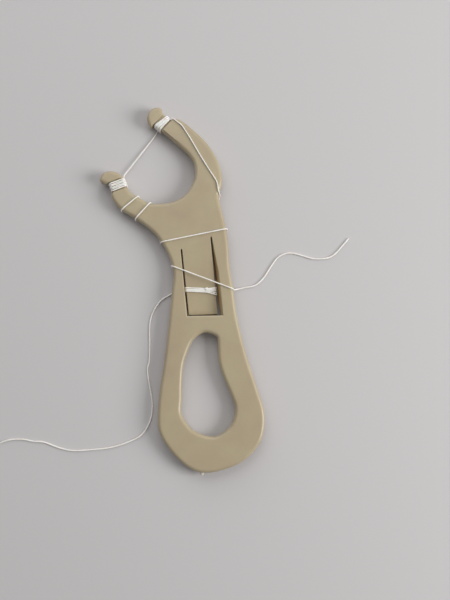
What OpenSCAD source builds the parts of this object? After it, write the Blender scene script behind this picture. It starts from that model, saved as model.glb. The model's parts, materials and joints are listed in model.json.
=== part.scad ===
// Hand-held floss holder: a flat moulded plate with a fork, a spring tongue and a finger ring,
// strung with one length of floss. It lies flat with its front face up, long axis along Y.

/* [Plate] */
// Thickness of the moulded plate
plate_t = 4; // [3.4:0.1:5]
// Radius of the plate's rounded edges
edge_r = 1.15; // [0.6:0.05:1.4]

/* [Handle] */
// Width across the finger ring
ring_w = 33.5; // [31:0.5:40]
// Width of the waist, the narrowest part of the handle
waist_w = 18; // [17:0.25:22]
// Width of the neck, where the fork begins
neck_w = 22.8; // [22:0.2:27]
// Length from the centre of the finger ring to the waist
ring_to_waist = 47; // [44:0.5:56]
// Length from the waist to the bottom of the fork's gap
waist_to_gap = 22.3; // [20:0.5:28]

/* [Finger hole] */
// Greatest width of the finger hole, measured on the plate's faces
hole_w = 19.2; // [16:0.2:21]
// Length of the finger hole, measured on the plate's faces
hole_len = 35; // [30:0.5:37]

/* [Spring tongue] */
// Width of the tongue at its root
tongue_w = 9.3; // [8.5:0.1:9.6]
// Length of the tongue along its right-hand edge
tongue_len = 23.6; // [19:0.2:24.5]
// Thickness of the tongue
tongue_t = 1.2; // [0.8:0.1:1.6]
// Width of the slots at the root of the tongue, where they grip the floss
slot_grip = 0.45; // [0.3:0.05:0.6]
// Width of the left slot at the free end of the tongue
left_slot_mouth = 1.1; // [1:0.05:1.5]
// Width of the right slot at the free end of the tongue
right_slot_mouth = 1.6; // [1.3:0.05:1.8]
// Gap between the free end of the tongue and the plate
tongue_end_gap = 1.5; // [1:0.1:2]

/* [Fork] */
// Width of the upper arm at its middle
upper_arm_w = 7; // [6.4:0.1:8]
// Width of the lower arm at its middle
lower_arm_w = 6.9; // [6.6:0.1:8]
// Width of the knob on the end of the upper arm
upper_knob_w = 7; // [6.6:0.1:8]
// Width of the knob on the end of the lower arm
lower_knob_w = 6.9; // [6.6:0.1:8]
// Width of both arms at the bottom of their thread grooves
groove_core_w = 4.5; // [4.2:0.1:4.9]
// Thickness of both arms at the bottom of their thread grooves
groove_core_t = 2.8; // [2.2:0.1:3.2]

/* [Floss] */
// Diameter of the floss
floss_d = 0.5; // [0.4:0.02:0.54]
// Clearance between the floss and the plastic that carries it
floss_gap = 0.05; // [0.02:0.01:0.1]
// Distance from one turn of floss to the next
turn_pitch = 0.95; // [0.95:0.01:1.05]
// Turns on the tip of the upper arm
upper_turns = 3; // [2:1:3]
// Turns on the tip of the lower arm
lower_turns = 3; // [2:1:3]
// Turns on the spring tongue
tongue_turns = 3; // [2:1:3]

/* [Hidden] */

plastic = [0.68, 0.61, 0.49];
floss = [0.93, 0.92, 0.90];

// Clearance round the barrel on which the tongue flexes
hinge_gap = 0.1;
// Length of the thread grooves beyond the turns that they hold, and height of the lips beside them
groove_room = 0.75;
groove_lip = 0.2;
// Radius of the edges at the bottom of the thread grooves
core_r = 0.4;
// Radius of the window's corners, and width and depth of the bevel on its edges
window_corner_r = 0.15;
window_bevel = 0.4;
// How far the cutting shapes reach past what they cut
over = 1;
// What is left of the gate through which the plastic was fed: width, and how far it stands out
gate_w = 1.1;
gate_out = 0.6;
// Lean of the walls of the thread grooves, over both walls
groove_lean = 0.5;
// Steps along one stretch of an outline between two of its points
outline_steps = 3;
// Rings over each rounded edge of the plate
edge_steps = 4;
// Steps round each corner of a turn of floss
corner_steps = 2;
floss_sides = 6;
tail_sides = 8;

floss_r = floss_d / 2;
// From the plastic's surface to the middle of the floss on it
floss_off = floss_gap + floss_r;
// The plate stands on the floss behind it, which is pressed flat there by a tenth of its diameter
back_z = floss_r - floss_d / 10;
plate_z = back_z + floss_off;
plate_mid = plate_z + plate_t / 2;
front_face = plate_z + plate_t;
front_z = front_face + floss_off;

// Places along the handle, from the finger hole's widest place
ring_y = -5.5;
ring_x = 0.85;
waist_y = ring_y + ring_to_waist;
gap_y = waist_y + waist_to_gap;

function unit(v) = v / norm(v);
function mix(a, b, s) = a + (b - a) * s;
function right_of(angle) = [sin(angle), -cos(angle)];
function ahead(angle) = [cos(angle), sin(angle)];
function flat(v) = [v.x, v.y];

// A point of the smooth curve between b and c, s of the way
function curve(a, b, c, d, s) =
    ((2 * b) + (c - a) * s + (2 * a - 5 * b + 4 * c - d) * s * s
    + (3 * b - a - 3 * c + d) * s * s * s) / 2;
function closed_curve(p, steps) = let (n = len(p))
    [for (i = [0:n - 1], k = [0:steps - 1])
        curve(p[(i + n - 1) % n], p[i], p[(i + 1) % n], p[(i + 2) % n], k / steps)];
function open_curve(p, steps) = let (n = len(p))
    [for (i = [0:n - 2], k = [0:(i == n - 2 ? steps : steps - 1)])
        curve(i == 0 ? 2 * p[0] - p[1] : p[i - 1], p[i], p[i + 1],
            i == n - 2 ? 2 * p[n - 1] - p[n - 2] : p[i + 2], k / steps)];

// The closed outline moved outwards by d at each of its points
function outward(p, i) = let (n = len(p), t = unit(p[(i + 1) % n] - p[(i + n - 1) % n])) [t.y, -t.x];
function grown(p, d) = [for (i = [0:len(p) - 1]) p[i] + outward(p, i) * d];

// The finger ring's end, as shares of half the ring's width from the ring's centre
ring_end = [[-0.97, -0.24], [-0.83, -0.52], [-0.62, -0.78], [-0.4, -0.95], [-0.16, -1.01],
    [0.12, -0.985], [0.46, -0.885], [0.75, -0.68], [0.93, -0.42]];
// The handle's sides: share of the way from the ring to the waist, share of the ring's swell
// over the waist, and the middle's place across
handle_rows = [[0, 1, ring_x], [0.18, 0.82, 0.55], [0.41, 0.5, 0.6], [0.65, 0.245, 0.9],
    [0.84, 0.11, 1.5], [1, 0, 1.85]];
// The neck's sides: share of the way from the waist to the fork's gap, share of the way from the
// waist's width to the neck's, and the middle's place across
neck_rows = [[0.29, 0.375, 1.15], [0.56, 1, -0.6]];

handle_mids = concat(
    [for (r = handle_rows) [r[2], ring_y + r[0] * ring_to_waist]],
    [for (r = neck_rows) [r[2], waist_y + r[0] * waist_to_gap]]);
handle_widths = concat(
    [for (r = handle_rows) mix(waist_w, ring_w, r[1])],
    [for (r = neck_rows) mix(waist_w, neck_w, r[1])]);

// The arms' middle lines: across, up from the bottom of the gap, heading and width
upper_rows = [[6.5, 7, 90, upper_arm_w + 2], [6.3, 11.8, 99, upper_arm_w + 0.7],
    [4.25, 16.4, 121, upper_arm_w], [1.1, 20.25, 134, upper_arm_w],
    [-3, 24.4, 136, upper_arm_w - 0.4], [-7.15, 26.87, 143.5, groove_core_w + 2 * groove_lip],
    [-8.6, 28.2, 145, upper_knob_w]];
upper_cap = [[-8.3, 31.7], [-10.2, 31], [-11.3, 29.4], [-11.5, 27.6]];
lower_rows = [[-15.5, -1.9, 135.5, lower_arm_w - 0.3], [-19.4, 1, 120, lower_arm_w],
    [-21.92, 4.03, 104, lower_arm_w - 0.8], [-22.6, 7.27, 106, groove_core_w + 2 * groove_lip],
    [-24.8, 9.65, 102, lower_knob_w]];
lower_cap = [[-22.4, 11.25], [-24.6, 11.9], [-27, 11.4]];
gap_bottom = [[-0.6, 2.9], [-3.4, 0.9], [-6.8, 0], [-10.2, 0]];
neck_right = [[9.8, -5], [9.7, -1.5], [10.4, 2.3]];

function arm_mid(row) = [row[0], gap_y + row[1]];
function arm_side(row, side) = arm_mid(row) + right_of(row[2]) * row[3] / 2 * side;
function above_gap(points) = [for (p = points) p + [0, gap_y]];
function backwards(p) = [for (i = [len(p) - 1:-1:0]) p[i]];

plate_points = concat(
    [for (p = ring_end) [ring_x, ring_y] + p * ring_w / 2],
    [for (i = [0:len(handle_mids) - 1]) handle_mids[i] + [handle_widths[i] / 2, 0]],
    above_gap(neck_right),
    [for (r = upper_rows) arm_side(r, 1)],
    above_gap(upper_cap),
    [for (r = backwards(upper_rows)) arm_side(r, -1)],
    above_gap(gap_bottom),
    [for (r = lower_rows) arm_side(r, 1)],
    above_gap(lower_cap),
    [for (r = backwards(lower_rows)) arm_side(r, -1)],
    [for (i = [len(handle_mids) - 1:-1:0]) handle_mids[i] - [handle_widths[i] / 2, 0]]);
plate_outline = closed_curve(plate_points, outline_steps);

// The finger hole: share of its length from its lower end, share of its width, place across
hole_rows = [[0.054, 0.547, 0.65], [0.146, 0.854, 0.4], [0.27, 1, 0.1], [0.39, 0.927, -0.1],
    [0.53, 0.818, -0.65], [0.69, 0.703, -0.85], [0.823, 0.615, 0.1], [0.94, 0.458, 1.2]];
hole_y = -12.6;
hole_points = concat(
    [[1.2, hole_y]],
    [for (r = hole_rows) [r[2] + r[1] * hole_w / 2, hole_y + r[0] * hole_len]],
    [[1, hole_y + hole_len]],
    [for (r = backwards(hole_rows)) [r[2] - r[1] * hole_w / 2, hole_y + r[0] * hole_len]]);
hole_outline = closed_curve(hole_points, outline_steps);

// The tongue's root line runs obliquely across the neck, from the left slot to the right slot
root_angle = 17.7;
root_mid = [0.85, waist_y + 8.4];
root_dir = [cos(root_angle), sin(root_angle)];
root_left = root_mid - root_dir * tongue_w / 2 / cos(root_angle);
root_right = root_mid + root_dir * tongue_w / 2 / cos(root_angle);
tongue_end_y = root_right.y - tongue_len;
// The slots open along lines that the window's long sides follow
window_left = [root_left.x - slot_grip, root_left.x - slot_grip - 0.1];
window_right = [root_right.x + slot_grip, root_right.x + slot_grip + 1.4];
tongue_left_end = [window_left[1] + left_slot_mouth, tongue_end_y + 0.3];
tongue_right_end = [window_right[1] - right_slot_mouth, tongue_end_y];
tongue_plan = [root_left, tongue_left_end, tongue_right_end, root_right];
window_foot = tongue_end_y - tongue_end_gap;
window_plan = let (r = window_corner_r) [
    [window_left[0] + r, root_left.y - slot_grip * tan(root_angle)],
    [window_left[1] + r, window_foot + 0.4 + r],
    [window_right[1] - r, window_foot - 0.4 + r],
    [window_right[1] - 0.2 - r, mix(window_foot, root_right.y, 0.55)],
    [window_right[0] - r, root_right.y + slot_grip * tan(root_angle)]];
// The tongue lies flush with the front face at its root and slopes to the back at its free end
tongue_rise = 0.2;
hinge_z = front_face - tongue_t / 2;
tongue_slope = atan((plate_t - tongue_t - tongue_rise) / (tongue_len - 1));

// The middle of the plate's box, which is put on the Y and X axes
xs = [for (p = plate_outline) p.x];
ys = [for (p = plate_outline) p.y];
centre = [(min(xs) + max(xs)) / 2, (min(ys) + max(ys)) / 2];
module placed() { translate([-centre.x, -centre.y, 0]) children(); }

// A solid skinned over rings of points that all have the same count
module skin(rings) {
    n = len(rings[0]);
    m = len(rings);
    polyhedron(
        points = [for (r = rings) each r],
        faces = concat(
            [[for (i = [0:n - 1]) i]],
            [for (j = [0:m - 2], i = [0:n - 1]) each [
                [j * n + i, (j + 1) * n + i, j * n + (i + 1) % n],
                [j * n + (i + 1) % n, (j + 1) * n + i, (j + 1) * n + (i + 1) % n]]],
            [[for (i = [n - 1:-1:0]) (m - 1) * n + i]]),
        convexity = 8);
}

// Height above the back face and inset of each ring that rounds the plate's edge
edge_levels = [for (k = [0:edge_steps]) let (a = 90 * k / edge_steps)
    [edge_r * (1 - cos(a)), edge_r * (1 - sin(a))]];
plate_levels = concat(
    [for (l = edge_levels) [plate_z + l[0], l[1]]],
    backwards([for (l = edge_levels) [front_face - l[0], l[1]]]));
function level(outline, inset, z) = [for (p = grown(outline, -inset)) [p.x, p.y, z]];

module rounded_plate() {
    skin([for (l = plate_levels) level(plate_outline, l[1], l[0])]);
}

// The finger hole is narrowest at the plate's middle and flares to both faces
module finger_hole() {
    skin(concat(
        [level(hole_outline, 0, plate_z - over)],
        [for (l = plate_levels) level(hole_outline, edge_r - l[1], l[0])],
        [level(hole_outline, 0, front_face + over)]));
}

// A cylinder along the tongue's root line
module root_barrel(r, extra) {
    translate([root_mid.x, root_mid.y, hinge_z])
        rotate([0, 90, root_angle])
        cylinder(r = r, h = tongue_w / cos(root_angle) + 2 * extra, center = true, $fn = 32);
}

// Thread grooves: middle, heading and turns held
upper_groove = [[-6.6, gap_y + 26.43], 134, upper_turns];
lower_groove = [[-22.55, gap_y + 7.12], 106, lower_turns];
function groove_len(g) = g[2] * turn_pitch + groove_room;
function rounded_corner(x, y, r, start, steps) =
    [for (k = [0:steps]) let (a = start - 90 * k / steps) [x + r * cos(a), y + r * sin(a)]];
core_x = groove_core_w / 2 - core_r;
core_y = groove_core_t / 2 - core_r;
function core_section(r, steps) = concat(
    rounded_corner(-core_x, -core_y, r, 270, steps), rounded_corner(-core_x, core_y, r, 180, steps),
    rounded_corner(core_x, core_y, r, 90, steps), rounded_corner(core_x, -core_y, r, 0, steps));

// A groove all round an arm, whose walls lean outwards
module thread_groove(g) {
    length = groove_len(g);
    translate([g[0].x, g[0].y, plate_mid]) rotate([90, 0, g[1] - 90]) difference() {
        hull() {
            cube([groove_core_w, groove_core_t, length], center = true);
            cube([2 * groove_core_w, 2 * plate_t, length + groove_lean], center = true);
        }
        hull() for (x = [-core_x, core_x], y = [-core_y, core_y])
            translate([x, y, 0]) cylinder(r = core_r, h = 2 * length, center = true, $fn = 16);
    }
}

// The window, with bevelled edges that run out at the tongue's root
bevel_tip_r = 0.01;
module window() {
    hull() for (p = window_plan)
        translate([p.x, p.y, plate_z - over])
            cylinder(r = window_corner_r, h = plate_t + 2 * over, $fn = 12);
    for (side = [-1, 1]) hull() for (i = [0:len(window_plan) - 1])
        translate([window_plan[i].x, window_plan[i].y, plate_mid + side * (plate_t / 2 - window_bevel)])
            scale([1, 1, side]) cylinder(r1 = bevel_tip_r, h = 1.5 * window_bevel,
                r2 = window_corner_r + (i == 0 || i == len(window_plan) - 1 ? 0 : window_bevel), $fn = 12);
}

// The seat of the tongue's barrel, open to the front
module barrel_seat() {
    hull() for (lift = [0, 1])
        translate([0, 0, lift * over]) root_barrel(tongue_t / 2 + hinge_gap, hinge_gap);
}

// The gate mark, which stands out of the finger ring's end and is thinner at its tip
gate_at = [ring_x - 4.4, ring_y - ring_w / 2 + gate_w / 2];
module gate_mark() {
    hull() for (out = [-gate_w / 2, gate_out])
        translate([gate_at.x, gate_at.y - out, plate_mid]) sphere(r = gate_w / 2 - 0.3 * out, $fn = 10);
}

module holder_body() {
    color(plastic) placed() {
        difference() {
            rounded_plate();
            finger_hole();
            window();
            barrel_seat();
            thread_groove(upper_groove);
            thread_groove(lower_groove);
        }
        gate_mark();
    }
}

module spring_tongue() {
    reach = 2 * tongue_len;
    color(plastic) placed() {
        intersection() {
            translate([0, 0, plate_z]) linear_extrude(plate_t) polygon(tongue_plan);
            translate([root_mid.x, root_mid.y, hinge_z])
                rotate([0, 0, root_angle]) rotate([tongue_slope, 0, 0])
                translate([-reach / 2, -reach, -tongue_t / 2]) cube([reach, reach, tongue_t]);
        }
        root_barrel(tongue_t / 2, 0);
    }
}

// The middle of the tongue's thickness at a place across it
function tongue_mid_z(p) =
    hinge_z - tan(tongue_slope) * ((p - root_mid) * [sin(root_angle), -cos(root_angle)]);
function tongue_left(y) = mix(tongue_left_end.x, root_left.x,
    (y - tongue_left_end.y) / (root_left.y - tongue_left_end.y));
function tongue_right(y) = mix(tongue_right_end.x, root_right.x,
    (y - tongue_right_end.y) / (root_right.y - tongue_right_end.y));

// Where a line over the plate meets the floss's own way round the plate's edge, and which way
// the edge faces there
floss_rim = grown(plate_outline, floss_off);
function crossing(from, to) = let (n = len(floss_rim), d = to - from)
    [for (i = [0:n - 1])
        let (p = floss_rim[i], e = floss_rim[(i + 1) % n] - p, across = cross(d, e))
        if (abs(across) > 0.000001)
            let (s = cross(p - from, e) / across, u = cross(p - from, d) / across)
            if (s >= 0 && s <= 1 && u >= 0 && u < 1) [from + d * s, unit([e.y, -e.x])]][0];

// The floss's way from a crossing on to a face of the plate, over the rounded edge
function edge_arc(c, toward, front) =
    let (d = unit(toward - c[0]), lean = -(d * c[1]), r = edge_r + floss_off)
    [for (k = [0:3])
        let (a = 90 - 30 * k, p = c[0] + d * r * (1 - sin(a)) / lean)
        [p.x, p.y, front ? front_face - edge_r + r * cos(a) : plate_z + edge_r - r * cos(a)]];
function edge_mid(c) = [c[0].x, c[0].y, plate_mid];
function run(a, b, front, via = []) = let (n = len(via)) concat(
    edge_arc(a, n == 0 ? b[0] : via[0], front),
    [for (p = via) [p.x, p.y, front ? front_z : back_z]],
    backwards(edge_arc(b, n == 0 ? a[0] : via[n - 1], front)));

// The turns of floss in a thread groove
function in_groove(g, across, along, z) =
    let (p = g[0] + right_of(g[1]) * across + ahead(g[1]) * along) [p.x, p.y, z];
groove_drop = core_y + core_r + floss_off;
one_turn = let (c = core_section(core_r + floss_off, corner_steps), half = len(c) / 2)
    concat([[0, -groove_drop]], [for (i = [0:half - 1]) c[i]],
        [[0, groove_drop]], [for (i = [half:len(c) - 1]) c[i]]);
function coil(g, way) = let (n = len(one_turn))
    [for (k = [0:g[2] * n])
        in_groove(g, one_turn[k % n][0], way * turn_pitch * (k / n - g[2] / 2),
            plate_mid + one_turn[k % n][1])];
function coil_half(g) = g[2] * turn_pitch / 2;
function wall(g) = groove_len(g) / 2;
groove_z = plate_mid - groove_drop;

// The crossings, in the order in which the floss passes them
arm_start = crossing([4, gap_y + 0.2], [20, gap_y + 1.8]);
arm_end = crossing([-0.5, gap_y + 24.85], [-2.9, gap_y + 29]);
wrap_a_left = crossing([-18.8, gap_y + 1.1], [-26, gap_y - 4]);
wrap_a_right = crossing([-18.8, gap_y + 1.1], [-12, gap_y + 5.9]);
wrap_b_left = crossing([-15, gap_y - 1.8], [-21, gap_y - 7.4]);
wrap_b_right = crossing([-15, gap_y - 1.8], [-9, gap_y + 3.8]);
neck_left = crossing([0, waist_y + 10.9], [-20, waist_y + 8.5]);
neck_end = crossing([0, waist_y + 10.9], [20, waist_y + 13.2]);
waist_left = crossing([2.5, waist_y - 3.1], [-17, waist_y + 6.3]);
waist_end = crossing([2.5, waist_y - 3.1], [22, waist_y - 12.5]);

// Under the tongue the floss passes above the run that goes from the neck to the waist
under_neck = [2.4, root_mid.y + 0.3];
back_run_way = [[4.5, root_mid.y - 12.6, 0.8], [3.8, root_mid.y - 9.5, 0.76],
    [2.9, root_mid.y - 4, 0.76], [2.4, root_mid.y - 0.7, 0.76], [under_neck.x, under_neck.y, back_z]];
arm_run_way = above_gap([[8.9, 5.4], [8, 7.6], [5.9, 12], [3.6, 16.8], [1.55, 21], [-0.4, 24.7]]);
upper_lead = in_groove(upper_groove, 1.2, -wall(upper_groove) + 0.08, back_z);
lower_lead = in_groove(lower_groove, 1.2, -wall(lower_groove) + 0.08, back_z);

// The free end on the right, at the height of the table
table_z = floss_r;
right_tail_way = [[14.7, 34.7], [18.6, 35.2], [21.5, 37.3], [23.7, 40.1], [26.5, 43.4],
    [29.1, 44.6], [31.5, 44.6], [34.7, 43.5], [38.2, 42.2], [42.5, 42], [45, 42.9], [47.4, 45],
    [50.3, 47.8]];

// The stretches of floss that the plate holds, each starting where the last one ends
stretches = [
    concat(back_run_way, backwards(edge_arc(arm_start, under_neck, false))),
    concat([edge_mid(arm_start)], run(arm_start, arm_end, true, arm_run_way), [edge_mid(arm_end)],
        edge_arc(arm_end, flat(upper_lead), false), [upper_lead]),
    coil(upper_groove, 1),
    [in_groove(upper_groove, -1.4, 0.9, 0.28), in_groove(upper_groove, -2.9, 0, 0.3),
        in_groove(upper_groove, -5.5, -0.4, 0.45),
        in_groove(lower_groove, 2.85, coil_half(lower_groove) + 1.6, 0.75),
        in_groove(lower_groove, core_x + core_r, coil_half(lower_groove), groove_z)],
    coil(lower_groove, -1),
    concat([lower_lead], backwards(edge_arc(wrap_a_left, flat(lower_lead), false)),
        [edge_mid(wrap_a_left)],
        run(wrap_a_left, wrap_a_right, true), [edge_mid(wrap_a_right)],
        run(wrap_a_right, wrap_b_left, false), [edge_mid(wrap_b_left)],
        run(wrap_b_left, wrap_b_right, true), [edge_mid(wrap_b_right)],
        run(wrap_b_right, neck_left, false)),
    concat([edge_mid(neck_left)], run(neck_left, neck_end, true), [edge_mid(neck_end)],
        run(neck_end, waist_left, false)),
    concat([edge_mid(waist_left)], run(waist_left, waist_end, true)),
    concat([[waist_end[0].x + 0.1, waist_end[0].y + 0.1, plate_mid - 0.9],
        [waist_end[0].x + 0.8, waist_end[0].y + 0.4, table_z + 0.15]],
        [for (p = open_curve(right_tail_way, 2)) [p.x, p.y, table_z]])];
function count_before(k) = k == 0 ? 0 : len(stretches[k - 1]) + count_before(k - 1);
held_floss = [for (s = stretches) each s];

// The free end on the left, from the left slot out over the table
slot_y = waist_y - 6.6;
left_tail_way = [[-8.2, 34.9], [-12.1, 32.8], [-14.8, 29.4], [-16.2, 25.5], [-16.7, 19.4],
    [-17.3, 13.7], [-18.1, 11.3], [-17.8, 6], [-17.4, 0.4], [-18.3, -4.4], [-20.7, -8.2], [-23.9, -10.2],
    [-31, -12], [-38.3, -12.2], [-43.9, -11.9], [-48.2, -10.5], [-52.4, -8.5], [-55.6, -8],
    [-58.7, -7.1], [-62.7, -6.8], [-66, -7.5], [-71, -9.2], [-77, -10], [-83, -9.2], [-89, -7.6]];
left_tail_points = concat(
    [[window_left[1] + 0.35, slot_y, back_z + 0.1], [window_left[1] - 0.4, slot_y, back_z]],
    [for (p = open_curve(left_tail_way, 2)) [p.x, p.y, table_z]]);

// The turns on the tongue fan downwards to the right, a little wider apart than in the grooves
fan = 2;
tongue_pitch = 1.04 * turn_pitch;
function tongue_corner(x, y, top, start) = let (z = tongue_mid_z([x, y]) + (top ? 1 : -1) * tongue_t / 2)
    [for (k = [0:corner_steps]) let (a = start - 90 * k / corner_steps)
        [x + floss_off * cos(a), y, z + floss_off * sin(a)]];
function tongue_turn(i) = let (yl = slot_y + i * tongue_pitch, yr = yl - fan) concat(
    i == 0 ? [] : tongue_corner(tongue_left(yl), yl, false, 270),
    tongue_corner(tongue_left(yl), yl, true, 180),
    tongue_corner(tongue_right(yr), yr, true, 90),
    tongue_corner(tongue_right(yr), yr, false, 0));
tongue_floss = concat(
    [[tongue_left(slot_y) - floss_off, slot_y,
        tongue_mid_z([tongue_left(slot_y), slot_y]) - tongue_t / 2]],
    [for (i = [0:tongue_turns - 1]) each tongue_turn(i)],
    [[5.1, root_mid.y - 13.7, 1.05], [4.7, root_mid.y - 13.1, 0.92]]);

// Directions along a way of points, and a side direction carried along it without twist
function tangent(p, i) = let (n = len(p)) unit(
    (i == n - 1 ? [0, 0, 0] : unit(p[i + 1] - p[i])) + (i == 0 ? [0, 0, 0] : unit(p[i] - p[i - 1])));
function squared(v, t) = unit(v - t * (v * t));
function sides_of(p) = let (n = len(p), first = tangent(p, 0),
    start = squared(abs(first.z) < 0.9 ? [0, 0, 1] : [1, 0, 0], first))
    [for (i = 0, s = start; i < n; i = i + 1, s = i < n ? squared(s, tangent(p, i)) : s) s];
// The rings of a tube from point a to point b of a way, none of it below the table
function tube_rings(p, a, b, sides) = let (s = sides_of(p))
    [for (i = [a:b]) let (t = tangent(p, i), v = cross(t, s[i]))
        [for (k = [0:sides - 1]) let (w = 360 * (k + 0.5) / sides,
            q = p[i] + floss_r * (cos(w) * s[i] + sin(w) * v)) [q.x, q.y, max(q.z, 0)]]];
module tube(p, a, b, sides) { color(floss) placed() skin(tube_rings(p, a, b, sides)); }
module stretch(k, sides = floss_sides) {
    tube(held_floss, count_before(k), min(count_before(k + 1), len(held_floss) - 1), sides);
}

module tongue_winding() { tube(tongue_floss, 0, len(tongue_floss) - 1, floss_sides); }
module back_run() { stretch(0); }
module arm_run() { stretch(1); }
module upper_tip_winding() { stretch(2); }
module span() { stretch(3); }
module lower_tip_winding() { stretch(4); }
module lower_arm_wraps() { stretch(5); }
module neck_wrap() { stretch(6); }
module waist_wrap() { stretch(7); }
module right_tail() { stretch(8, tail_sides); }
module left_tail() { tube(left_tail_points, 0, len(left_tail_points) - 1, tail_sides); }

// Least gap of a winding to itself, between points at least half a turn apart
function least_gap(p, apart) = min([for (i = [0:len(p) - 1 - apart], j = [i + apart:1:len(p) - 1])
    norm(p[i] - p[j])]) - floss_d;
echo(upper_tip_winding_gap = least_gap(coil(upper_groove, 1), 8),
    lower_tip_winding_gap = least_gap(coil(lower_groove, -1), 8),
    tongue_winding_gap = least_gap(tongue_floss, 8));
function way_length(p) = len(p) < 2 ? 0 : norm(p[1] - p[0]) + way_length([for (i = [1:len(p) - 1]) p[i]]);
echo(left_tail_length = way_length(left_tail_points),
    right_tail_length = way_length([for (p = stretches[8]) p]),
    held_length = way_length(held_floss), box_middle = centre);

holder_body();
spring_tongue();
tongue_winding();
back_run();
arm_run();
upper_tip_winding();
span();
lower_tip_winding();
lower_arm_wraps();
neck_wrap();
waist_wrap();
left_tail();
right_tail();
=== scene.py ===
import json
import math

import bmesh
import bpy
from mathutils import Matrix, Vector
from mathutils.geometry import intersect_line_line_2d

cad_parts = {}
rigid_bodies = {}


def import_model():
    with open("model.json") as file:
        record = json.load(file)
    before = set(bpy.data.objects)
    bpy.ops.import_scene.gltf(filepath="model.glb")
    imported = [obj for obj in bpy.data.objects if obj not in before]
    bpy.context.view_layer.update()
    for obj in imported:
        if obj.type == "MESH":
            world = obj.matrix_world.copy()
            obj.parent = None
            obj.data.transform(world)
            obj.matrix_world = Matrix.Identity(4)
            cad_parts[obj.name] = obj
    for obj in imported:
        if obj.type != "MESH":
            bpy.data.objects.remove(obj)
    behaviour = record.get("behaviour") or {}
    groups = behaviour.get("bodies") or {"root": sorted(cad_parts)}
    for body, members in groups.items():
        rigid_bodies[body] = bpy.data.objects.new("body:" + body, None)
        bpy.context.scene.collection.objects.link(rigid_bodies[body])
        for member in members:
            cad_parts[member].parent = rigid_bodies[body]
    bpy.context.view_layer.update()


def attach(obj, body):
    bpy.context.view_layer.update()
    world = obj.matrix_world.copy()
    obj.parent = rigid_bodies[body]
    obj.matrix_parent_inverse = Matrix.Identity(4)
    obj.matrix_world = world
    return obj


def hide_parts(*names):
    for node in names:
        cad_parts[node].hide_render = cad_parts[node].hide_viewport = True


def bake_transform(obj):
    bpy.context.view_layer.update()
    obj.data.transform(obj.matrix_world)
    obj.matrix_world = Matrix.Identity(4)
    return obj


# A hand-held floss holder lying on a table: one tan moulded plate with a fork, a spring tongue
# and a finger ring, strung with one length of white floss. Sizes are in millimetres on the
# plate's own plan, with the finger ring's widest place near the origin, until place() puts
# them in the frame in metres.

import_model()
bpy.ops.object.select_all(action="DESELECT")

MM = 0.001


# Sizes of the moulding

plate_t = 4
edge_r = 1.15
ring_w, waist_w, neck_w = 33.5, 18, 22.8
ring_to_waist, waist_to_gap = 47, 22.3
hole_w, hole_len = 19.2, 35
tongue_w, tongue_len, tongue_t = 9.3, 23.6, 1.2
slot_grip, left_slot_mouth, right_slot_mouth, tongue_end_gap = 0.45, 1.1, 1.6, 1.5
upper_arm_w, lower_arm_w, upper_knob_w, lower_knob_w = 7, 6.9, 7, 6.9
groove_core_w, groove_core_t, core_r, groove_lip = 4.5, 2.8, 0.4, 0.2
groove_len = 3.6
floss_d, floss_gap = 0.5, 0.05

floss_r = floss_d / 2
floss_off = floss_gap + floss_r
back_z = floss_r - floss_d / 10
plate_z = back_z + floss_off
plate_mid = plate_z + plate_t / 2
front_face = plate_z + plate_t
front_z = front_face + floss_off

ring_x, ring_y = 0.85, -5.5
waist_y = ring_y + ring_to_waist
gap_y = waist_y + waist_to_gap


def mix(a, b, share):
    return a + (b - a) * share


def smooth_between(a, b, c, d, s):
    """A point of the smooth curve between b and c, s of the way."""
    return (2 * b + (c - a) * s + (2 * a - 5 * b + 4 * c - d) * s * s
            + (3 * b - a - 3 * c + d) * s * s * s) / 2


def closed_curve(p, steps):
    n = len(p)
    return [smooth_between(p[i - 1], p[i], p[(i + 1) % n], p[(i + 2) % n], k / steps)
            for i in range(n) for k in range(steps)]


def open_curve(p, steps):
    p = [2 * p[0] - p[1]] + list(p) + [2 * p[-1] - p[-2]]
    curve = [smooth_between(p[i - 1], p[i], p[i + 1], p[i + 2], k / steps)
             for i in range(1, len(p) - 2) for k in range(steps)]
    return curve + [p[-2]]


def grown(p, distance):
    """The closed outline moved outwards by a distance at each of its points."""
    moved = []
    for i in range(len(p)):
        along = (p[(i + 1) % len(p)] - p[i - 1]).normalized()
        moved.append(p[i] + Vector((along.y, -along.x)) * distance)
    return moved


# The plate's outline, anticlockwise from the left of the finger ring. The ring's end is in half
# widths of the ring about its centre. Each row of the handle and the neck has its share of the
# way up, its share of the way from the waist's width to the wider one, and its middle. Each row
# of an arm has its middle, measured up from the gap's bottom, its heading and its width.

ring_end = [(-0.97, -0.24), (-0.83, -0.52), (-0.62, -0.78), (-0.4, -0.95), (-0.16, -1.01),
            (0.12, -0.985), (0.46, -0.885), (0.75, -0.68), (0.93, -0.42)]
handle_rows = [(0, 1, ring_x), (0.18, 0.82, 0.55), (0.41, 0.5, 0.6), (0.65, 0.245, 0.9),
               (0.84, 0.11, 1.5), (1, 0, 1.85)]
neck_rows = [(0.29, 0.375, 1.15), (0.56, 1, -0.6)]
neck_right = [(10, -4.3), (9.5, -0.4), (9.55, 1.5), (10.5, 3.8)]
groove_arm_w = groove_core_w + 2 * groove_lip
upper_rows = [(6.5, 7, 90, upper_arm_w + 2), (6.3, 11.8, 99, upper_arm_w + 0.7),
              (4.25, 16.4, 121, upper_arm_w), (1.1, 20.25, 134, upper_arm_w),
              (-3, 24.4, 136, upper_arm_w - 0.4), (-7.15, 26.87, 143.5, groove_arm_w),
              (-8.6, 28.2, 145, upper_knob_w)]
upper_cap = [(-8.3, 31.7), (-10.2, 31), (-11.3, 29.4), (-11.5, 27.6)]
gap_bottom = [(-0.6, 2.9), (-3.4, 0.9), (-6.8, 0), (-10.2, 0)]
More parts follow.
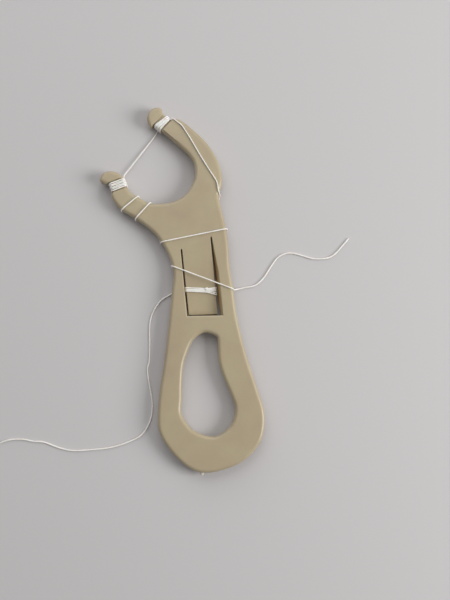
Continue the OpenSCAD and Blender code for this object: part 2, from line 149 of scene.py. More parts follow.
lower_rows = [(-15.5, -1.9, 135.5, lower_arm_w - 0.3), (-19.4, 1, 120, lower_arm_w),
              (-21.92, 4.03, 104, lower_arm_w - 0.8), (-22.6, 7.27, 106, groove_arm_w),
              (-24.8, 9.65, 102, lower_knob_w)]
lower_cap = [(-22.4, 11.25), (-24.6, 11.9), (-27, 11.4)]


def heading(degrees):
    return Vector((math.cos(math.radians(degrees)), math.sin(math.radians(degrees))))


def right_of(degrees):
    return Vector((math.sin(math.radians(degrees)), -math.cos(math.radians(degrees))))


def above_gap(points):
    return [Vector((p[0], p[1] + gap_y)) for p in points]


def arm_side(rows, side):
    return [Vector((x, y + gap_y)) + right_of(angle) * width / 2 * side
            for x, y, angle, width in rows]


def handle_side(side):
    edge = []
    for share, swell, middle in handle_rows:
        half = mix(waist_w, ring_w, swell) / 2
        edge.append(Vector((middle + side * half, ring_y + share * ring_to_waist)))
    for share, swell, middle in neck_rows:
        half = mix(waist_w, neck_w, swell) / 2
        edge.append(Vector((middle + side * half, waist_y + share * waist_to_gap)))
    return edge


plate_points = (
    [Vector((ring_x + x * ring_w / 2, ring_y + y * ring_w / 2)) for x, y in ring_end]
    + handle_side(1) + above_gap(neck_right)
    + arm_side(upper_rows, 1) + above_gap(upper_cap) + arm_side(upper_rows[::-1], -1)
    + above_gap(gap_bottom)
    + arm_side(lower_rows, 1) + above_gap(lower_cap) + arm_side(lower_rows[::-1], -1)
    + handle_side(-1)[::-1])

# The finger hole's foot, and rows like the handle's in shares of the hole's own size
hole_y = -12.6
hole_rows = [(0.054, 0.547, 0.65), (0.146, 0.854, 0.4), (0.27, 1, 0.1), (0.39, 0.927, -0.1),
             (0.53, 0.818, -0.65), (0.69, 0.703, -0.85), (0.823, 0.615, 0.1), (0.94, 0.458, 1.2)]


def hole_side(side):
    return [Vector((middle + side * swell * hole_w / 2, hole_y + share * hole_len))
            for share, swell, middle in hole_rows]


hole_points = ([Vector((1.2, hole_y))] + hole_side(1)
               + [Vector((1, hole_y + hole_len))] + hole_side(-1)[::-1])

# The frame's axes pass through the middle of the plate's box, as the CAD model draws it
cad_outline = closed_curve(plate_points, 3)
centre = Vector(((min(p.x for p in cad_outline) + max(p.x for p in cad_outline)) / 2,
                 (min(p.y for p in cad_outline) + max(p.y for p in cad_outline)) / 2, 0))


def in_mm(p):
    """A point of the plan put in the frame, still in millimetres."""
    return Vector((p[0], p[1], p[2] if len(p) > 2 else 0)) - centre


def place(p):
    """A point of the plan, in millimetres, put in the frame in metres."""
    return in_mm(p) * MM


# The camera stands over the fork's side of the finger ring and leans towards the fork, as the
# photographer did. The picture's height and focal length are in pixels, and so is the spot
# straight under the camera, counted from the picture's centre.

picture_h, picture_f = 600, 867
under_camera = (-17, -92)
sensor_h = 36
table_up = Vector((-under_camera[0], -under_camera[1], picture_f)).normalized()
picture_up = (Vector((0, 1, 0)) - table_up * table_up.y).normalized()
picture_right = picture_up.cross(table_up)
camera_turn = Matrix((picture_right, picture_up, table_up))
object_turn = Matrix.Rotation(math.radians(-5), 3, "Z")
camera_at = (0.5, 2.5, 277.4)

bpy.ops.object.camera_add()
camera = bpy.context.object
camera.data.sensor_fit = "VERTICAL"
camera.data.sensor_height = sensor_h
camera.data.lens = picture_f / picture_h * sensor_h
camera.matrix_world = (Matrix.Translation(place(camera_at))
                       @ (object_turn @ camera_turn).to_4x4())
bpy.context.scene.camera = camera


# Materials

def linear(hex_colour):
    """An sRGB colour such as #B0A082 as Blender's linear values."""
    values = []
    for i in (1, 3, 5):
        c = int(hex_colour[i:i + 2], 16) / 255
        values.append(c / 12.92 if c <= 0.04045 else ((c + 0.055) / 1.055) ** 2.4)
    return (*values, 1)


def node(material, kind, links=(), **settings):
    """Adds a node, sets its inputs and properties by name and links its inputs."""
    new = material.node_tree.nodes.new(kind)
    for name, value in settings.items():
        if name in new.inputs:
            new.inputs[name].default_value = value
        elif hasattr(new, name):
            setattr(new, name, value)
        else:
            new.inputs[name.replace("_", " ")].default_value = value
    for socket, source in links:
        material.node_tree.links.new(source, new.inputs[socket])
    return new


def new_material(name):
    material = bpy.data.materials.new(name)
    material.use_nodes = True
    material.node_tree.nodes.clear()
    return material


def shade(material, surface, bump):
    """Puts the bump on the surface shader and the shader on the output."""
    material.node_tree.links.new(bump.outputs["Normal"], surface.inputs["Normal"])
    output = material.node_tree.nodes.new("ShaderNodeOutputMaterial")
    material.node_tree.links.new(surface.outputs[0], output.inputs["Surface"])


def ramp_between(material, source, low, high):
    """Turns the middle of a noise's range into the colours between two."""
    ramp = node(material, "ShaderNodeValToRGB", [("Fac", source)])
    for element, position, colour in zip(ramp.color_ramp.elements, (0.3, 0.7), (low, high)):
        element.position = position
        element.color = linear(colour)
    return ramp


def moulded_polypropylene():
    """Tan polypropylene from a finely etched mould: a soft, broad sheen, a hint of light let
    through at thin edges, and faint clouding where the plastic flowed."""
    m = new_material("tan_moulded_polypropylene")
    where = node(m, "ShaderNodeTexCoord").outputs["Object"]
    clouds = node(m, "ShaderNodeTexNoise", [("Vector", where)], Scale=90, Detail=3)
    tan = ramp_between(m, clouds.outputs["Fac"], "#AD9D82", "#B5A889")
    # Painted light: far down in the slots the colour turns a light amber, standing in for light
    # that comes through the plastic and bounces between the walls
    painted_slot_glow = node(m, "ShaderNodeAttribute", attribute_name="painted_slot_glow")
    amber = node(m, "ShaderNodeMix",
                 [("Factor", painted_slot_glow.outputs["Fac"]), ("A", tan.outputs["Color"])],
                 data_type="RGBA", B=linear("#D8B272"))
    # Torn plastic, as at the gate, is blanched
    torn = node(m, "ShaderNodeAttribute", attribute_name="torn")
    colour = node(m, "ShaderNodeMix",
                  [("Factor", torn.outputs["Fac"]), ("A", amber.outputs["Result"])],
                  data_type="RGBA", B=linear("#DDD8CB"))
    # The etched grain of the mould is about 0.15 mm; it is drawn at 0.4 mm so that it shows
    grain = node(m, "ShaderNodeTexNoise", [("Vector", where)], Scale=2500, Detail=2)
    bump = node(m, "ShaderNodeBump", [("Height", grain.outputs["Fac"])], Strength=0.25,
                Distance=0.00004)
    plastic = node(m, "ShaderNodeBsdfPrincipled", [("Base Color", colour.outputs["Result"])],
                   Roughness=0.4, IOR=1.49, Coat_Weight=0.3, Coat_Roughness=0.3,
                   Subsurface_Weight=0.12, Subsurface_Radius=(1.0, 0.55, 0.25),
                   Subsurface_Scale=0.0012)
    shade(m, plastic, bump)
    return m


def waxed_nylon_floss():
    """White nylon filaments, lightly twisted and waxed: nearly white, with a soft sheen along
    the thread and a little fuzz."""
    m = new_material("white_waxed_nylon")
    where = node(m, "ShaderNodeTexCoord").outputs["Object"]
    wax = node(m, "ShaderNodeTexNoise", [("Vector", where)], Scale=700, Detail=2)
    white = ramp_between(m, wax.outputs["Fac"], "#F0EBE3", "#FAF7F2")
    # The filaments are 0.02 mm thick; they are drawn at 0.1 mm
    fuzz = node(m, "ShaderNodeTexNoise", [("Vector", where)], Scale=9000, Detail=1)
    bump = node(m, "ShaderNodeBump", [("Height", fuzz.outputs["Fac"])], Strength=0.4,
                Distance=0.00003)
    thread = node(m, "ShaderNodeBsdfPrincipled", [("Base Color", white.outputs["Color"])],
                  Roughness=0.5, IOR=1.5, Sheen_Weight=0.25, Sheen_Roughness=0.5,
                  Subsurface_Weight=0.15, Subsurface_Scale=0.0004)
    shade(m, thread, bump)
    return m


def pale_table():
    """The plain, matt grey-white surface under the object."""
    m = new_material("pale_table")
    where = node(m, "ShaderNodeTexCoord").outputs["Object"]
    grain = node(m, "ShaderNodeTexNoise", [("Vector", where)], Scale=500, Detail=3)
    bump = node(m, "ShaderNodeBump", [("Height", grain.outputs["Fac"])], Strength=0.1,
                Distance=0.0001)
    top = node(m, "ShaderNodeBsdfPrincipled", Base_Color=linear("#C8C5C5"), Roughness=0.7)
    shade(m, top, bump)
    return m


polypropylene = moulded_polypropylene()
nylon = waxed_nylon_floss()


def finish_with(piece, material):
    piece.data.materials.clear()
    piece.data.materials.append(material)


# Modelling tools

def select_only(*pieces):
    """Selects these pieces alone, and makes the last one the active one."""
    bpy.ops.object.select_all(action="DESELECT")
    for piece in pieces:
        piece.select_set(True)
        bpy.context.view_layer.objects.active = piece


def to_edit(piece):
    select_only(piece)
    bpy.ops.object.mode_set(mode="EDIT")


def apply_modifier(piece, kind, **settings):
    select_only(piece)
    bpy.ops.object.modifier_add(type=kind)
    for name, value in settings.items():
        setattr(piece.modifiers[-1], name, value)
    bpy.ops.object.modifier_apply(modifier=piece.modifiers[-1].name)


def lofted(name, rings):
    """A closed shape drawn as a ring of edges that is extruded from each ring to the next."""
    bpy.ops.object.select_all(action="DESELECT")
    bpy.ops.mesh.primitive_circle_add(vertices=len(rings[0]), radius=1)
    piece = bpy.context.object
    piece.name = name
    to_edit(piece)
    bpy.ops.mesh.select_all(action="SELECT")
    mesh = bmesh.from_edit_mesh(piece.data)
    mesh.verts.ensure_lookup_table()
    # Which point of a ring each vertex of the newest ring stands for
    at = {v.index: i for i, v in enumerate(mesh.verts)}
    for i, v in enumerate(mesh.verts):
        v.co = in_mm(rings[0][i])
    bpy.ops.mesh.edge_face_add()
    for ring in rings[1:]:
        bpy.ops.mesh.extrude_region_move()
        mesh = bmesh.from_edit_mesh(piece.data)
        mesh.verts.index_update()
        raised = {}
        for v in [v for v in mesh.verts if v.select]:
            foot = [e.other_vert(v) for e in v.link_edges if not e.other_vert(v).select][0]
            raised[v.index] = at[foot.index]
        mesh.verts.ensure_lookup_table()
        for index, i in raised.items():
            mesh.verts[index].co = in_mm(ring[i])
        bmesh.update_edit_mesh(piece.data)
        at = raised
    bpy.ops.mesh.select_all(action="SELECT")
    bpy.ops.mesh.normals_make_consistent(inside=False)
    bpy.ops.object.mode_set(mode="OBJECT")
    return piece


def cut_away(piece, cutter):
    apply_modifier(piece, "BOOLEAN", operation="DIFFERENCE", solver="MANIFOLD", object=cutter)
    bpy.data.objects.remove(cutter)


def at_height(outline, z):
    return [(p.x, p.y, z) for p in outline]


# The moulding

outline = closed_curve(plate_points, 10)
hole_outline = closed_curve(hole_points, 10)
round_steps = 8
# How far each cutter reaches past the plate's faces
over = 1


def rounded_levels():
    """Height and inset of each ring over both rounded edges of the plate."""
    arc = [(edge_r * (1 - math.cos(a)), edge_r * (1 - math.sin(a)))
           for a in [math.radians(90 * k / round_steps) for k in range(round_steps + 1)]]
    return ([(plate_z + rise, inset) for rise, inset in arc]
            + [(front_face - rise, inset) for rise, inset in arc[::-1]])


plate = lofted("moulded_plate",
               [at_height(grown(outline, -inset), z) for z, inset in rounded_levels()])
cut_away(plate, lofted("finger_hole", (
    [at_height(hole_outline, plate_z - over)]
    + [at_height(grown(hole_outline, inset - edge_r), z) for z, inset in rounded_levels()]
    + [at_height(hole_outline, front_face + over)])))

# The window round the tongue, whose root line runs obliquely across the neck. Each side is given
# at the root and at the foot, and the corners run from the root's left end round the foot.
root_angle = 17.7
root_mid = Vector((0.85, waist_y + 8.4))
root_half = heading(root_angle) * tongue_w / 2 / math.cos(math.radians(root_angle))
root_left = root_mid - root_half
root_right = root_mid + root_half
tongue_end_y = root_right.y - tongue_len
window_left = (root_left.x - slot_grip, root_left.x - slot_grip - 0.1)
window_right = (root_right.x + slot_grip, root_right.x + slot_grip + 1.4)
tongue_left_end = Vector((window_left[1] + left_slot_mouth - 0.2, tongue_end_y - 0.5))
tongue_right_end = Vector((window_right[1] - right_slot_mouth, tongue_end_y - 0.95))
window_foot = tongue_end_y - tongue_end_gap
slot_rise = slot_grip * math.tan(math.radians(root_angle))
window_plan = [Vector((window_left[0], root_left.y - slot_rise)),
               Vector((window_left[1] + 0.3, window_foot + 0.6)),
               Vector((window_right[1], window_foot - 0.2)),
               Vector((window_right[1] - 0.2, mix(window_foot, root_right.y, 0.55))),
               Vector((window_right[0], root_right.y + slot_rise))]
# Every edge but the root's is bevelled, the foot's three times as wide. From the front to the
# back the corners move across by the lean, so that the sides slope inwards, the right one most.
bevel = 0.15
bevel_share = [(0, 0), (-1, -3), (1, -3), (1, 0), (0, 0)]
corner_lean = [0, 0.2, -0.85, -1.05, -0.05]


def window_ring(z, out):
    depth = (front_face - z) / plate_t
    return [(p.x + share[0] * out + lean * depth, p.y + share[1] * out, z)
            for p, share, lean in zip(window_plan, bevel_share, corner_lean)]


cut_away(plate, lofted("window", [
    window_ring(plate_z - over, over + bevel), window_ring(plate_z + bevel, 0),
    window_ring(front_face - bevel, 0), window_ring(front_face + over, over + bevel)]))


def block(name, size):
    bpy.ops.object.select_all(action="DESELECT")
    bpy.ops.mesh.primitive_cube_add(size=1)
    piece = bpy.context.object
    piece.name = name
    piece.scale = size
    bpy.ops.object.transform_apply(scale=True)
    return piece


def groove_cutter(name, middle, angle):
    """A collar round the arm that leaves a core with rounded edges."""
    collar = block(name, (4 * groove_core_w, 3 * plate_t, groove_len))
    core = block("core", (groove_core_w, groove_core_t, 2 * groove_len))
    apply_modifier(core, "BEVEL", width=core_r, segments=5)
    cut_away(collar, core)
    collar.data.transform(Matrix.Translation(in_mm((middle[0], middle[1], plate_mid)))
                          @ Matrix.Rotation(math.radians(angle - 90), 4, "Z")
                          @ Matrix.Rotation(math.radians(90), 4, "X"))
    return collar


# Each groove's middle and the heading of the arm there
upper_groove = (Vector((-6.6, gap_y + 26.43)), 134)
lower_groove = (Vector((-22.55, gap_y + 7.12)), 106)
cut_away(plate, groove_cutter("upper_groove", *upper_groove))
cut_away(plate, groove_cutter("lower_groove", *lower_groove))

# The tongue slopes from the front face at its root, and at its free end it lies this far above
# the plate's back
tongue_lift = 0.2
slope = (plate_t - tongue_t - tongue_lift) / (tongue_len - 1)
root_normal = right_of(root_angle)


def tongue_mid_z(p):
    return front_face - tongue_t / 2 - slope * ((Vector((p[0], p[1])) - root_mid) @ root_normal)


def tongue_ring(left, right, half, flare=0):
    """A section across the tongue. Its right side leans out by the flare towards the back."""
    return [(left.x, left.y, tongue_mid_z(left) - half),
            (right.x + flare, right.y, tongue_mid_z(right) - half),
            (right.x, right.y, tongue_mid_z(right) + half),
            (left.x, left.y, tongue_mid_z(left) + half)]


def sunk(p, depth):
    """A point behind the root line, under the plate's face."""
    return Vector((p.x, p.y)) - root_normal * depth


# The share of the tongue's length at which its right side leans out most, and how far
flare_at, flare_out = 0.4, 0.25
tongue = lofted("tongue_blank", [
    [(x, y, z - 0.3) for x, y, z in tongue_ring(sunk(root_left, 2), sunk(root_right, 2), 0.2)],
    tongue_ring(root_left, root_right, tongue_t / 2),
    tongue_ring(root_left.lerp(tongue_left_end, flare_at),
                root_right.lerp(tongue_right_end, flare_at), tongue_t / 2, flare_out),
    tongue_ring(tongue_left_end, tongue_right_end, tongue_t / 2)])

# What is left of the gate through which the plastic was fed
gate_x = ring_x - 4.4
gate_w, gate_out = 1.5, 1
gate_at = (gate_x, ring_y - ring_w / 2 + gate_w / 2, plate_mid)
bpy.ops.object.select_all(action="DESELECT")
bpy.ops.mesh.primitive_uv_sphere_add(segments=16, ring_count=10, radius=gate_w / 2,
                                     location=in_mm(gate_at))
gate = bpy.context.object
gate.scale = (1, 2 * (gate_w / 2 + gate_out) / gate_w, 0.7)
bpy.ops.object.transform_apply()

# Plate, tongue and gate are one moulding: they become one skin, softened as a mould rounds it.
# The voxels stay under a third of the slots' width at the root, or the slots would close.
voxel = 0.12
select_only(tongue, gate, plate)
bpy.ops.object.join()
plate.data.remesh_voxel_size = voxel
plate.data.remesh_voxel_adaptivity = 0
bpy.ops.object.voxel_remesh()
apply_modifier(plate, "SMOOTH", factor=0.5, iterations=5)
apply_modifier(plate, "DECIMATE", ratio=0.2)
plate.data.transform(Matrix.Scale(MM, 4))


def inside(p, corners):
    """Whether a point lies in a convex plan whose corners run anticlockwise."""
    for a, b in zip(corners, corners[1:] + corners[:1]):
        if (b - a).cross(p - a) < 0:
            return False
    return True


# Distances from the tongue's root line, between which the real tongue flexes. The whole skin is
# cut along the first, only the cut across the tongue is opened, and the part that hangs from it is
# the tongue.
flex_from, flex_to = 1.2, 10
divide_at = root_mid + root_normal * flex_from
root_zone = [root_left - Vector((0.2, 4)), root_right + Vector((0.35, -4)),
             root_right + Vector((0.3, 0)), root_left - Vector((0.25, 0))]
to_edit(plate)
bpy.ops.mesh.select_mode(type="EDGE")
bpy.ops.mesh.select_all(action="SELECT")
bpy.ops.mesh.bisect(plane_co=place(divide_at), plane_no=(root_normal.x, root_normal.y, 0),
                    threshold=0.001 * MM)
mesh = bmesh.from_edit_mesh(plate.data)
cut = [edge for edge in mesh.edges if edge.select]
bpy.ops.mesh.select_all(action="DESELECT")
for edge in cut:
    spot = (edge.verts[0].co + edge.verts[1].co) / 2 / MM + centre
    edge.select_set(inside(spot.to_2d(), root_zone))
bmesh.update_edit_mesh(plate.data)
bpy.ops.mesh.edge_split(type="EDGE")
bpy.ops.mesh.select_all(action="DESELECT")
tip_plan = (root_mid.x, tongue_right_end.y + 2)
tip = place((*tip_plan, tongue_mid_z(tip_plan)))
mesh = bmesh.from_edit_mesh(plate.data)
min(mesh.faces, key=lambda face: (face.calc_center_median() - tip).length).select_set(True)
bmesh.update_edit_mesh(plate.data)
bpy.ops.mesh.select_linked()
bpy.ops.mesh.separate(type="SELECTED")
bpy.ops.object.mode_set(mode="OBJECT")
tongue = [o for o in bpy.context.selected_objects if o is not plate][0]
tongue.name = "moulded_tongue"

# The walls of the slots get a painted amber glow with depth, standing in for light through the
# plastic, and the gate's tip is blanched
gate_tip = Vector((gate_x, min(p.y for p in cad_outline) - 0.5))
slot_zone = [Vector((window_left[1] - 0.5, window_foot + 9)),
             Vector((window_right[1] + 0.5, window_foot + 2)),
             Vector((window_right[0] + 0.9, root_right.y + 1)),
             Vector((window_left[0] - 0.5, root_left.y + 1))]


def painted_glow_share(piece, spot):
    """The share of painted amber glow: from 0.4 mm below the plate's face, and whole at 2 mm. The
    tongue's starts in its middle.
    """
    if not inside(spot.to_2d(), slot_zone):
        return 0
    below = front_face - spot.z if piece is plate else 3 * (tongue_mid_z(spot) - spot.z) + 1
    return min(max((below - 0.4) / 1.6, 0), 1)


def blanched_share(spot):
    """Most at the gate's tip, and none from 1.1 mm away."""
    return min(max(2.2 - 2 * (spot.to_2d() - gate_tip).length, 0), 0.8)


for piece in (plate, tongue):
    # One face closes the cut, and its edge stays sharp
    to_edit(piece)
    bpy.ops.mesh.select_all(action="DESELECT")
    bpy.ops.mesh.select_non_manifold(use_wire=False, use_multi_face=False,
                                     use_non_contiguous=False, use_verts=False)
    bpy.ops.mesh.mark_sharp()
    bpy.ops.mesh.edge_face_add()
    bpy.ops.object.mode_set(mode="OBJECT")
    # Painted light: the slots' amber glow is kept on the points, with the gate's blanching
    piece.data.attributes.new("painted_slot_glow", "FLOAT", "POINT")
    piece.data.attributes.new("torn", "FLOAT", "POINT")
    painted_slot_glow = piece.data.attributes["painted_slot_glow"].data
    torn = piece.data.attributes["torn"].data
    for v in piece.data.vertices:
        spot = v.co / MM + centre
        painted_slot_glow[v.index].value = painted_glow_share(piece, spot)
        torn[v.index].value = blanched_share(spot)
    select_only(piece)
    bpy.ops.object.shade_smooth()
    finish_with(piece, polypropylene)

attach(plate, "holder")
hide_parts("holder_body")
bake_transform(tongue)
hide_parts("spring_tongue")


# The floss

floss_rim = grown(closed_curve(plate_points, 3), floss_off)


def crossing(start, toward):
    """Where a line over the plate meets the floss's way round its edge, and the edge's normal."""
    start, toward = Vector(start), Vector(toward)
    for a, b in zip(floss_rim, floss_rim[1:] + floss_rim[:1]):
        hit = intersect_line_line_2d(start, toward, a, b)
        if hit:
            along = (b - a).normalized()
            return Vector(hit), Vector((along.y, -along.x))


def edge_arc(c, toward, front):
    """The way from a crossing on to a face of the plate, over the rounded edge."""
    d = (Vector(toward[:2]) - c[0]).normalized()
    lean = -(d @ c[1])
    r = edge_r + floss_off
    way = []
    for k in range(7):
        a = math.radians(90 - 15 * k)
        p = c[0] + d * r * (1 - math.sin(a)) / lean
        z = front_face - edge_r + r * math.cos(a) if front else plate_z + edge_r - r * math.cos(a)
        way.append((p.x, p.y, z))
    return way


def edge_mid(c):
    return [(c[0].x, c[0].y, plate_mid)]


def run(a, b, front):
    """Straight over a face of the plate from one crossing to another."""
    return edge_arc(a, b[0], front) + edge_arc(b, a[0], front)[::-1]


def in_groove(groove, across, along, z):
    """A point given across and along the arm from the middle of its groove."""
    p = groove[0] + right_of(groove[1]) * across + heading(groove[1]) * along
    return (p.x, p.y, z)


groove_x = groove_core_w / 2 - core_r
groove_y = groove_core_t / 2 - core_r
groove_drop = groove_core_t / 2 + floss_off
groove_half = groove_len / 2


def quarter_back(start):
    """The angles of a quarter of a circle, clockwise from a start in degrees."""
    return [math.radians(start - 18 * k) for k in range(6)]


def one_turn():
    """Across and up, once round the core of a groove from the middle of its back."""
    r = core_r + floss_off
    corners = [(-groove_x, -groove_y, 270), (-groove_x, groove_y, 180),
               (groove_x, groove_y, 90), (groove_x, -groove_y, 0)]
    arcs = [[(x + r * math.cos(a), y + r * math.sin(a)) for a in quarter_back(start)]
            for x, y, start in corners]
    return [(0, -groove_drop)] + arcs[0] + arcs[1] + [(0, groove_drop)] + arcs[2] + arcs[3]


def coil(groove, turns, way, first, inner, outer):
    """Turns round a groove from one point of the turn. They lie from inner[0] to inner[1] along
    the arm on the side towards the span, and from outer[0] to outer[1] on its other side. A way
    of -1 lays them from the second of each to the first."""
    turn = one_turn()
    half = groove_x + core_r + floss_off
    count = round(turns * len(turn))
    way_round = []
    for k in range(count + 1):
        across, up = turn[(k + first) % len(turn)]
        share = k / count
        if way < 0:
            share = 1 - share
        wander = 0.05 * math.sin(2.3 * k) + 0.06 * math.sin(0.61 * k)
        along = mix(mix(*inner, share), mix(*outer, share), (across + half) / (2 * half)) + wander
        lift = 0.12 * (1 + math.sin(0.37 * k)) / 2
        stretch = 1 + lift / half
        way_round.append(in_groove(groove, across * stretch, along, plate_mid + up * stretch))
    return way_round


# Where the thread's runs cross the plate's edge: each line starts on the run and ends beyond it
arm_start = crossing((4, gap_y + 0.4), (20, gap_y + 2.2))
wrap_a_left = crossing((-18.8, gap_y + 1.1), (-26, gap_y - 4))
wrap_a_right = crossing((-18.8, gap_y + 1.1), (-12, gap_y + 5.9))
wrap_b_left = crossing((-15, gap_y - 1.8), (-21, gap_y - 7.4))
wrap_b_right = crossing((-15, gap_y - 1.8), (-9, gap_y + 3.8))
neck_left = crossing((0, waist_y + 10.9), (-20, waist_y + 8.5))
neck_end = crossing((0, waist_y + 10.9), (20, waist_y + 13.2))
waist_left = crossing((2.5, waist_y - 3.1), (-17, waist_y + 6.3))
waist_end = crossing((2.5, waist_y - 3.1), (22, waist_y - 12.5))

under_neck = (2.4, root_mid.y + 0.3)
back_run_way = [(4.5, root_mid.y - 12.6, 0.8), (3.8, root_mid.y - 9.5, 0.76),
                (2.9, root_mid.y - 4, 0.76), (2.4, root_mid.y - 0.7, 0.76), (*under_neck, back_z)]
arm_run = [(9.36, 3), (9.36, 4), (9.27, 5), (8.87, 6.1), (7.3, 9), (5, 13.6), (1.65, 20.8),
           (-0.45, 24.8)]
# At the neck's notch the thread turns on the rounded edge instead of crossing it straight
arm_turn = [(arm_start[0].x - 0.03, arm_start[0].y + 0.25, front_face - 0.9),
            (arm_start[0].x - 0.15, arm_start[0].y + 0.6, front_face - 0.3),
            (arm_start[0].x - 0.3, arm_start[0].y + 1, front_z - 0.1)]
lower_lead = in_groove(lower_groove, 1.2, -groove_half + 0.3, back_z)

# From the window's back up the arm, round both grooves, and round the lower arm, neck and waist
held_way = (
    back_run_way + edge_arc(arm_start, under_neck, False)[::-1]
    + edge_mid(arm_start) + arm_turn
    + [(x, y + gap_y, front_z) for x, y in arm_run]
    + [in_groove(upper_groove, 3.1, -1.9, front_z),
       in_groove(upper_groove, 2.9, -1.3, front_z - 0.3)]
    + coil(upper_groove, 6.25, 1, 14, (-1.4, 1.45), (-1.3, 0.2))
    + [in_groove(upper_groove, -1.4, 0.9, 0.28), in_groove(upper_groove, -2.9, 0, 0.3),
       in_groove(upper_groove, -5.5, -0.4, 0.45),
       in_groove(lower_groove, 2.85, groove_half + 1.2, 0.75),
       in_groove(lower_groove, groove_x + core_r, groove_half - 0.3, plate_mid - groove_drop)]
    + coil(lower_groove, 6, -1, 0, (-1.45, 1.45), (-1.3, 1.5))
    + [lower_lead] + edge_arc(wrap_a_left, lower_lead, False)[::-1] + edge_mid(wrap_a_left)
    + run(wrap_a_left, wrap_a_right, True) + edge_mid(wrap_a_right)
    + run(wrap_a_right, wrap_b_left, False) + edge_mid(wrap_b_left)
    + run(wrap_b_left, wrap_b_right, True) + edge_mid(wrap_b_right)
    + run(wrap_b_right, neck_left, False)
    + edge_mid(neck_left) + run(neck_left, neck_end, True) + edge_mid(neck_end)
    + run(neck_end, waist_left, False)
    + edge_mid(waist_left) + run(waist_left, waist_end, True))

# The free ends lie on the table. Each starts where the thread leaves the plate.
table_z = floss_r
right_tail_plan = [(14.7, 34.7), (18.6, 35.2), (21.5, 37.3), (23.7, 40.1), (26.5, 43.4),
                   (29.1, 44.6), (31.5, 44.6), (34.7, 43.5), (38.2, 42.2), (42.5, 42),
                   (45, 42.9), (47.4, 45), (50.3, 47.8)]
right_tail_way = (
    [(waist_end[0].x + 0.1, waist_end[0].y + 0.1, plate_mid - 0.9),
     (waist_end[0].x + 0.8, waist_end[0].y + 0.4, table_z + 0.15)]
    + [(p.x, p.y, table_z) for p in open_curve([Vector(p) for p in right_tail_plan], 4)])

# The left end comes out of the window's left slot, and the turns on the tongue start there too
slot_y = waist_y - 6.6
left_tail_plan = [(-8.2, 34.9), (-12.1, 32.8), (-14.8, 29.4), (-16.2, 25.5), (-16.7, 19.4),
                  (-17.3, 13.7), (-18.1, 11.3), (-17.8, 6), (-17.4, 0.4), (-18.3, -4.4),
                  (-20.7, -8.2), (-23.9, -10.2), (-31, -12), (-38.3, -12.2), (-43.9, -11.9),
                  (-48.2, -10.5), (-52.4, -8.5), (-55.6, -8), (-58.7, -7.1), (-62.7, -6.8),
                  (-66, -7.5), (-71, -9.2), (-77, -10), (-83, -9.2), (-89, -7.6)]
left_tail_way = (
    [(window_left[1] + 0.35, slot_y, back_z + 0.1), (window_left[1] - 0.4, slot_y, back_z)]
    + [(p.x, p.y, table_z) for p in open_curve([Vector(p) for p in left_tail_plan], 4)])

# Where each turn lies along the tongue, from that height: at its left edge, at its right edge
# and at the knot
tongue_lefts = [0, 0.3, 0.65, 0.15, 1.1]
tongue_rights = [-1.85, -1.25, -0.65, -0.15, 0.3]
tongue_middles = [-0.85, -0.5, -0.15, 0.05, 0.25]
knot_x = 2.9
knot_top = tongue_mid_z((knot_x, slot_y)) + tongue_t / 2


def tongue_edge(y, left):
    """How far across the tongue's left or right edge stands."""
    low, high = (tongue_left_end, root_left) if left else (tongue_right_end, root_right)
    return mix(low.x, high.x, (y - low.y) / (high.y - low.y))


def tongue_corner(x, y, top, start):
    """A quarter turn round a long edge of the tongue."""
    z = tongue_mid_z((x, y)) + (tongue_t / 2 if top else -tongue_t / 2)
    return [(x + floss_off * math.cos(a), y, z + floss_off * math.sin(a))
            for a in quarter_back(start)]


def tongue_turn(i):
    left_y = slot_y + tongue_lefts[i]
    right_y = slot_y + tongue_rights[i]
    left_x = tongue_edge(left_y, True)
    right_x = tongue_edge(right_y, False)
    under = [] if i == 0 else tongue_corner(left_x, left_y, False, 270)
    return (under + tongue_corner(left_x, left_y, True, 180)
            + [(knot_x, slot_y + tongue_middles[i], knot_top + floss_off + 0.1 * (i % 2))]
            + tongue_corner(right_x, right_y, True, 90)
            + tongue_corner(right_x, right_y, False, 0))


slot_x = tongue_edge(slot_y, True)
tongue_way = (
    [(slot_x - floss_off, slot_y, tongue_mid_z((slot_x, slot_y)) - tongue_t / 2)]
    + [p for i in range(len(tongue_lefts)) for p in tongue_turn(i)]
    + [(5.1, root_mid.y - 13.7, 1.05), (4.7, root_mid.y - 13.1, 0.92)])

# The knot is two turns and a half of the thread round the strands on the tongue
knot_at = Vector((knot_x, slot_y + 0.05, knot_top + 0.45))
knot_way = [knot_at + Vector((0.035 * k - 0.35, 0.4 * math.sin(0.8 * k), 0.3 * math.cos(0.8 * k)))
            for k in range(21)]


def evenly(points, step):
    """The same way with points a step apart."""
    points = [Vector(p) for p in points]
    even, left_over = [points[0]], 0
    for a, b in zip(points, points[1:]):
        length = (b - a).length
        d = step - left_over
        while d <= length:
            even.append(a + (b - a) * d / length)
            d += step
        left_over = length - (d - step)
    return even + [points[-1]]


def relaxed(points, times):
    """The way with its kinks eased, as thread lies."""
    for _ in range(times):
        eased = [(a + 2 * b + c) / 4 for a, b, c in zip(points, points[1:], points[2:])]
        points = [points[0]] + eased + [points[-1]]
    return points


# The thread's section: three plies, which turn once in a few millimetres
plies, ply_turn = 3, 3.2
bpy.ops.object.select_all(action="DESELECT")
bpy.ops.curve.primitive_bezier_circle_add(radius=1)
section = bpy.context.object
section.data.splines.clear()
spline = section.data.splines.new("POLY")
spline.points.add(5 * plies - 1)
for k, point in enumerate(spline.points):
    a = 2 * math.pi * k / (5 * plies)
    r = floss_r * MM * (0.96 + 0.04 * math.cos(plies * a))
    point.co = (r * math.cos(a), r * math.sin(a), 0, 1)
spline.use_cyclic_u = True


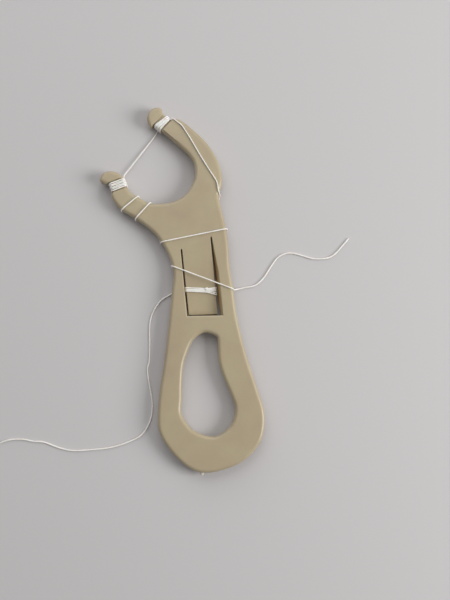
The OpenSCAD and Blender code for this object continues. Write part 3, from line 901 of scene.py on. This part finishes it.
def thread(name, way, step=0.3, ease=3, slack=0.86):
    """A length of twisted floss along a way, as a mesh, with its points and its length in metres.
    The slack is its radius in shares of the section's: loose floss is fuller than taut floss."""
    points = relaxed(evenly(way, step), ease)
    bpy.ops.object.select_all(action="DESELECT")
    bpy.ops.curve.primitive_bezier_curve_add()
    piece = bpy.context.object
    piece.name = name
    line = piece.data
    line.splines.clear()
    line.dimensions = "3D"
    line.bevel_mode = "OBJECT"
    line.bevel_object = section
    line.use_fill_caps = True
    spline = line.splines.new("POLY")
    spline.points.add(len(points) - 1)
    length = 0
    for i, (point, p) in enumerate(zip(spline.points, points)):
        length += (p - points[i - 1]).length if i else 0
        point.co = (*place(p), 1)
        point.tilt = 2 * math.pi * length / ply_turn
        point.radius = slack + 0.07 * math.sin(1.1 * length) * math.sin(0.23 * length + 1)
    bpy.ops.object.convert(target="MESH")
    piece = bpy.context.object
    bpy.ops.object.shade_smooth()
    finish_with(piece, nylon)
    return piece, [place(p) for p in points], length * MM


held, _, _ = thread("held_floss", held_way, slack=0.82)
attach(held, "holder")
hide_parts("back_run", "arm_run", "upper_tip_winding", "span", "lower_tip_winding",
            "lower_arm_wraps", "neck_wrap", "waist_wrap")
turns, _, _ = thread("tongue_turns", tongue_way)
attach(turns, "tongue")
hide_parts("tongue_winding")
knot, _, _ = thread("tongue_knot", knot_way, step=0.1, ease=1)
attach(knot, "tongue")
for name, cad_node, way in (("left_free_end", "left_tail", left_tail_way),
                            ("right_free_end", "right_tail", right_tail_way)):
    end, path, length = thread(name, way, slack=1)
    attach(end, "holder")
    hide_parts(cad_node)
bpy.data.objects.remove(section)


# Table, light and backdrop

bpy.ops.object.select_all(action="DESELECT")
bpy.ops.mesh.primitive_plane_add(size=4)
table = bpy.context.object
table.name = "table"
finish_with(table, pale_table())


def lamp(name, direction, distance, size, power):
    """A square lamp that faces the origin from a direction."""
    bpy.ops.object.light_add(type="AREA")
    light = bpy.context.object
    light.name = name
    light.data.size = size
    light.data.energy = power
    away = Vector(direction).normalized()
    light.location = away * distance
    light.rotation_euler = away.to_track_quat("Z", "Y").to_euler()


# A window on the right gives the clear light, and a wide soft light comes from past the fork
lamp("window_light", (0.93, -0.2, 0.56), 0.65, 0.34, 3.3)
lamp("room_light", (-0.2, 0.9, 0.7), 0.7, 0.9, 3.3)
# The room gives a soft light of its own, and the camera sees a plain backdrop in its place
world = bpy.data.worlds.new("room")
bpy.context.scene.world = world
world.use_nodes = True
room = world.node_tree.nodes["Background"]
room.inputs["Color"].default_value = linear("#EDEDEE")
room.inputs["Strength"].default_value = 0.3
backdrop = node(world, "ShaderNodeBackground", Color=linear("#CFCDCD"))
seen = node(world, "ShaderNodeLightPath")
behind = node(world, "ShaderNodeMixShader", [("Fac", seen.outputs["Is Camera Ray"])])
links = world.node_tree.links
links.new(room.outputs[0], behind.inputs[1])
links.new(backdrop.outputs[0], behind.inputs[2])
links.new(behind.outputs[0], world.node_tree.nodes["World Output"].inputs["Surface"])
bpy.context.scene.view_settings.view_transform = "Standard"
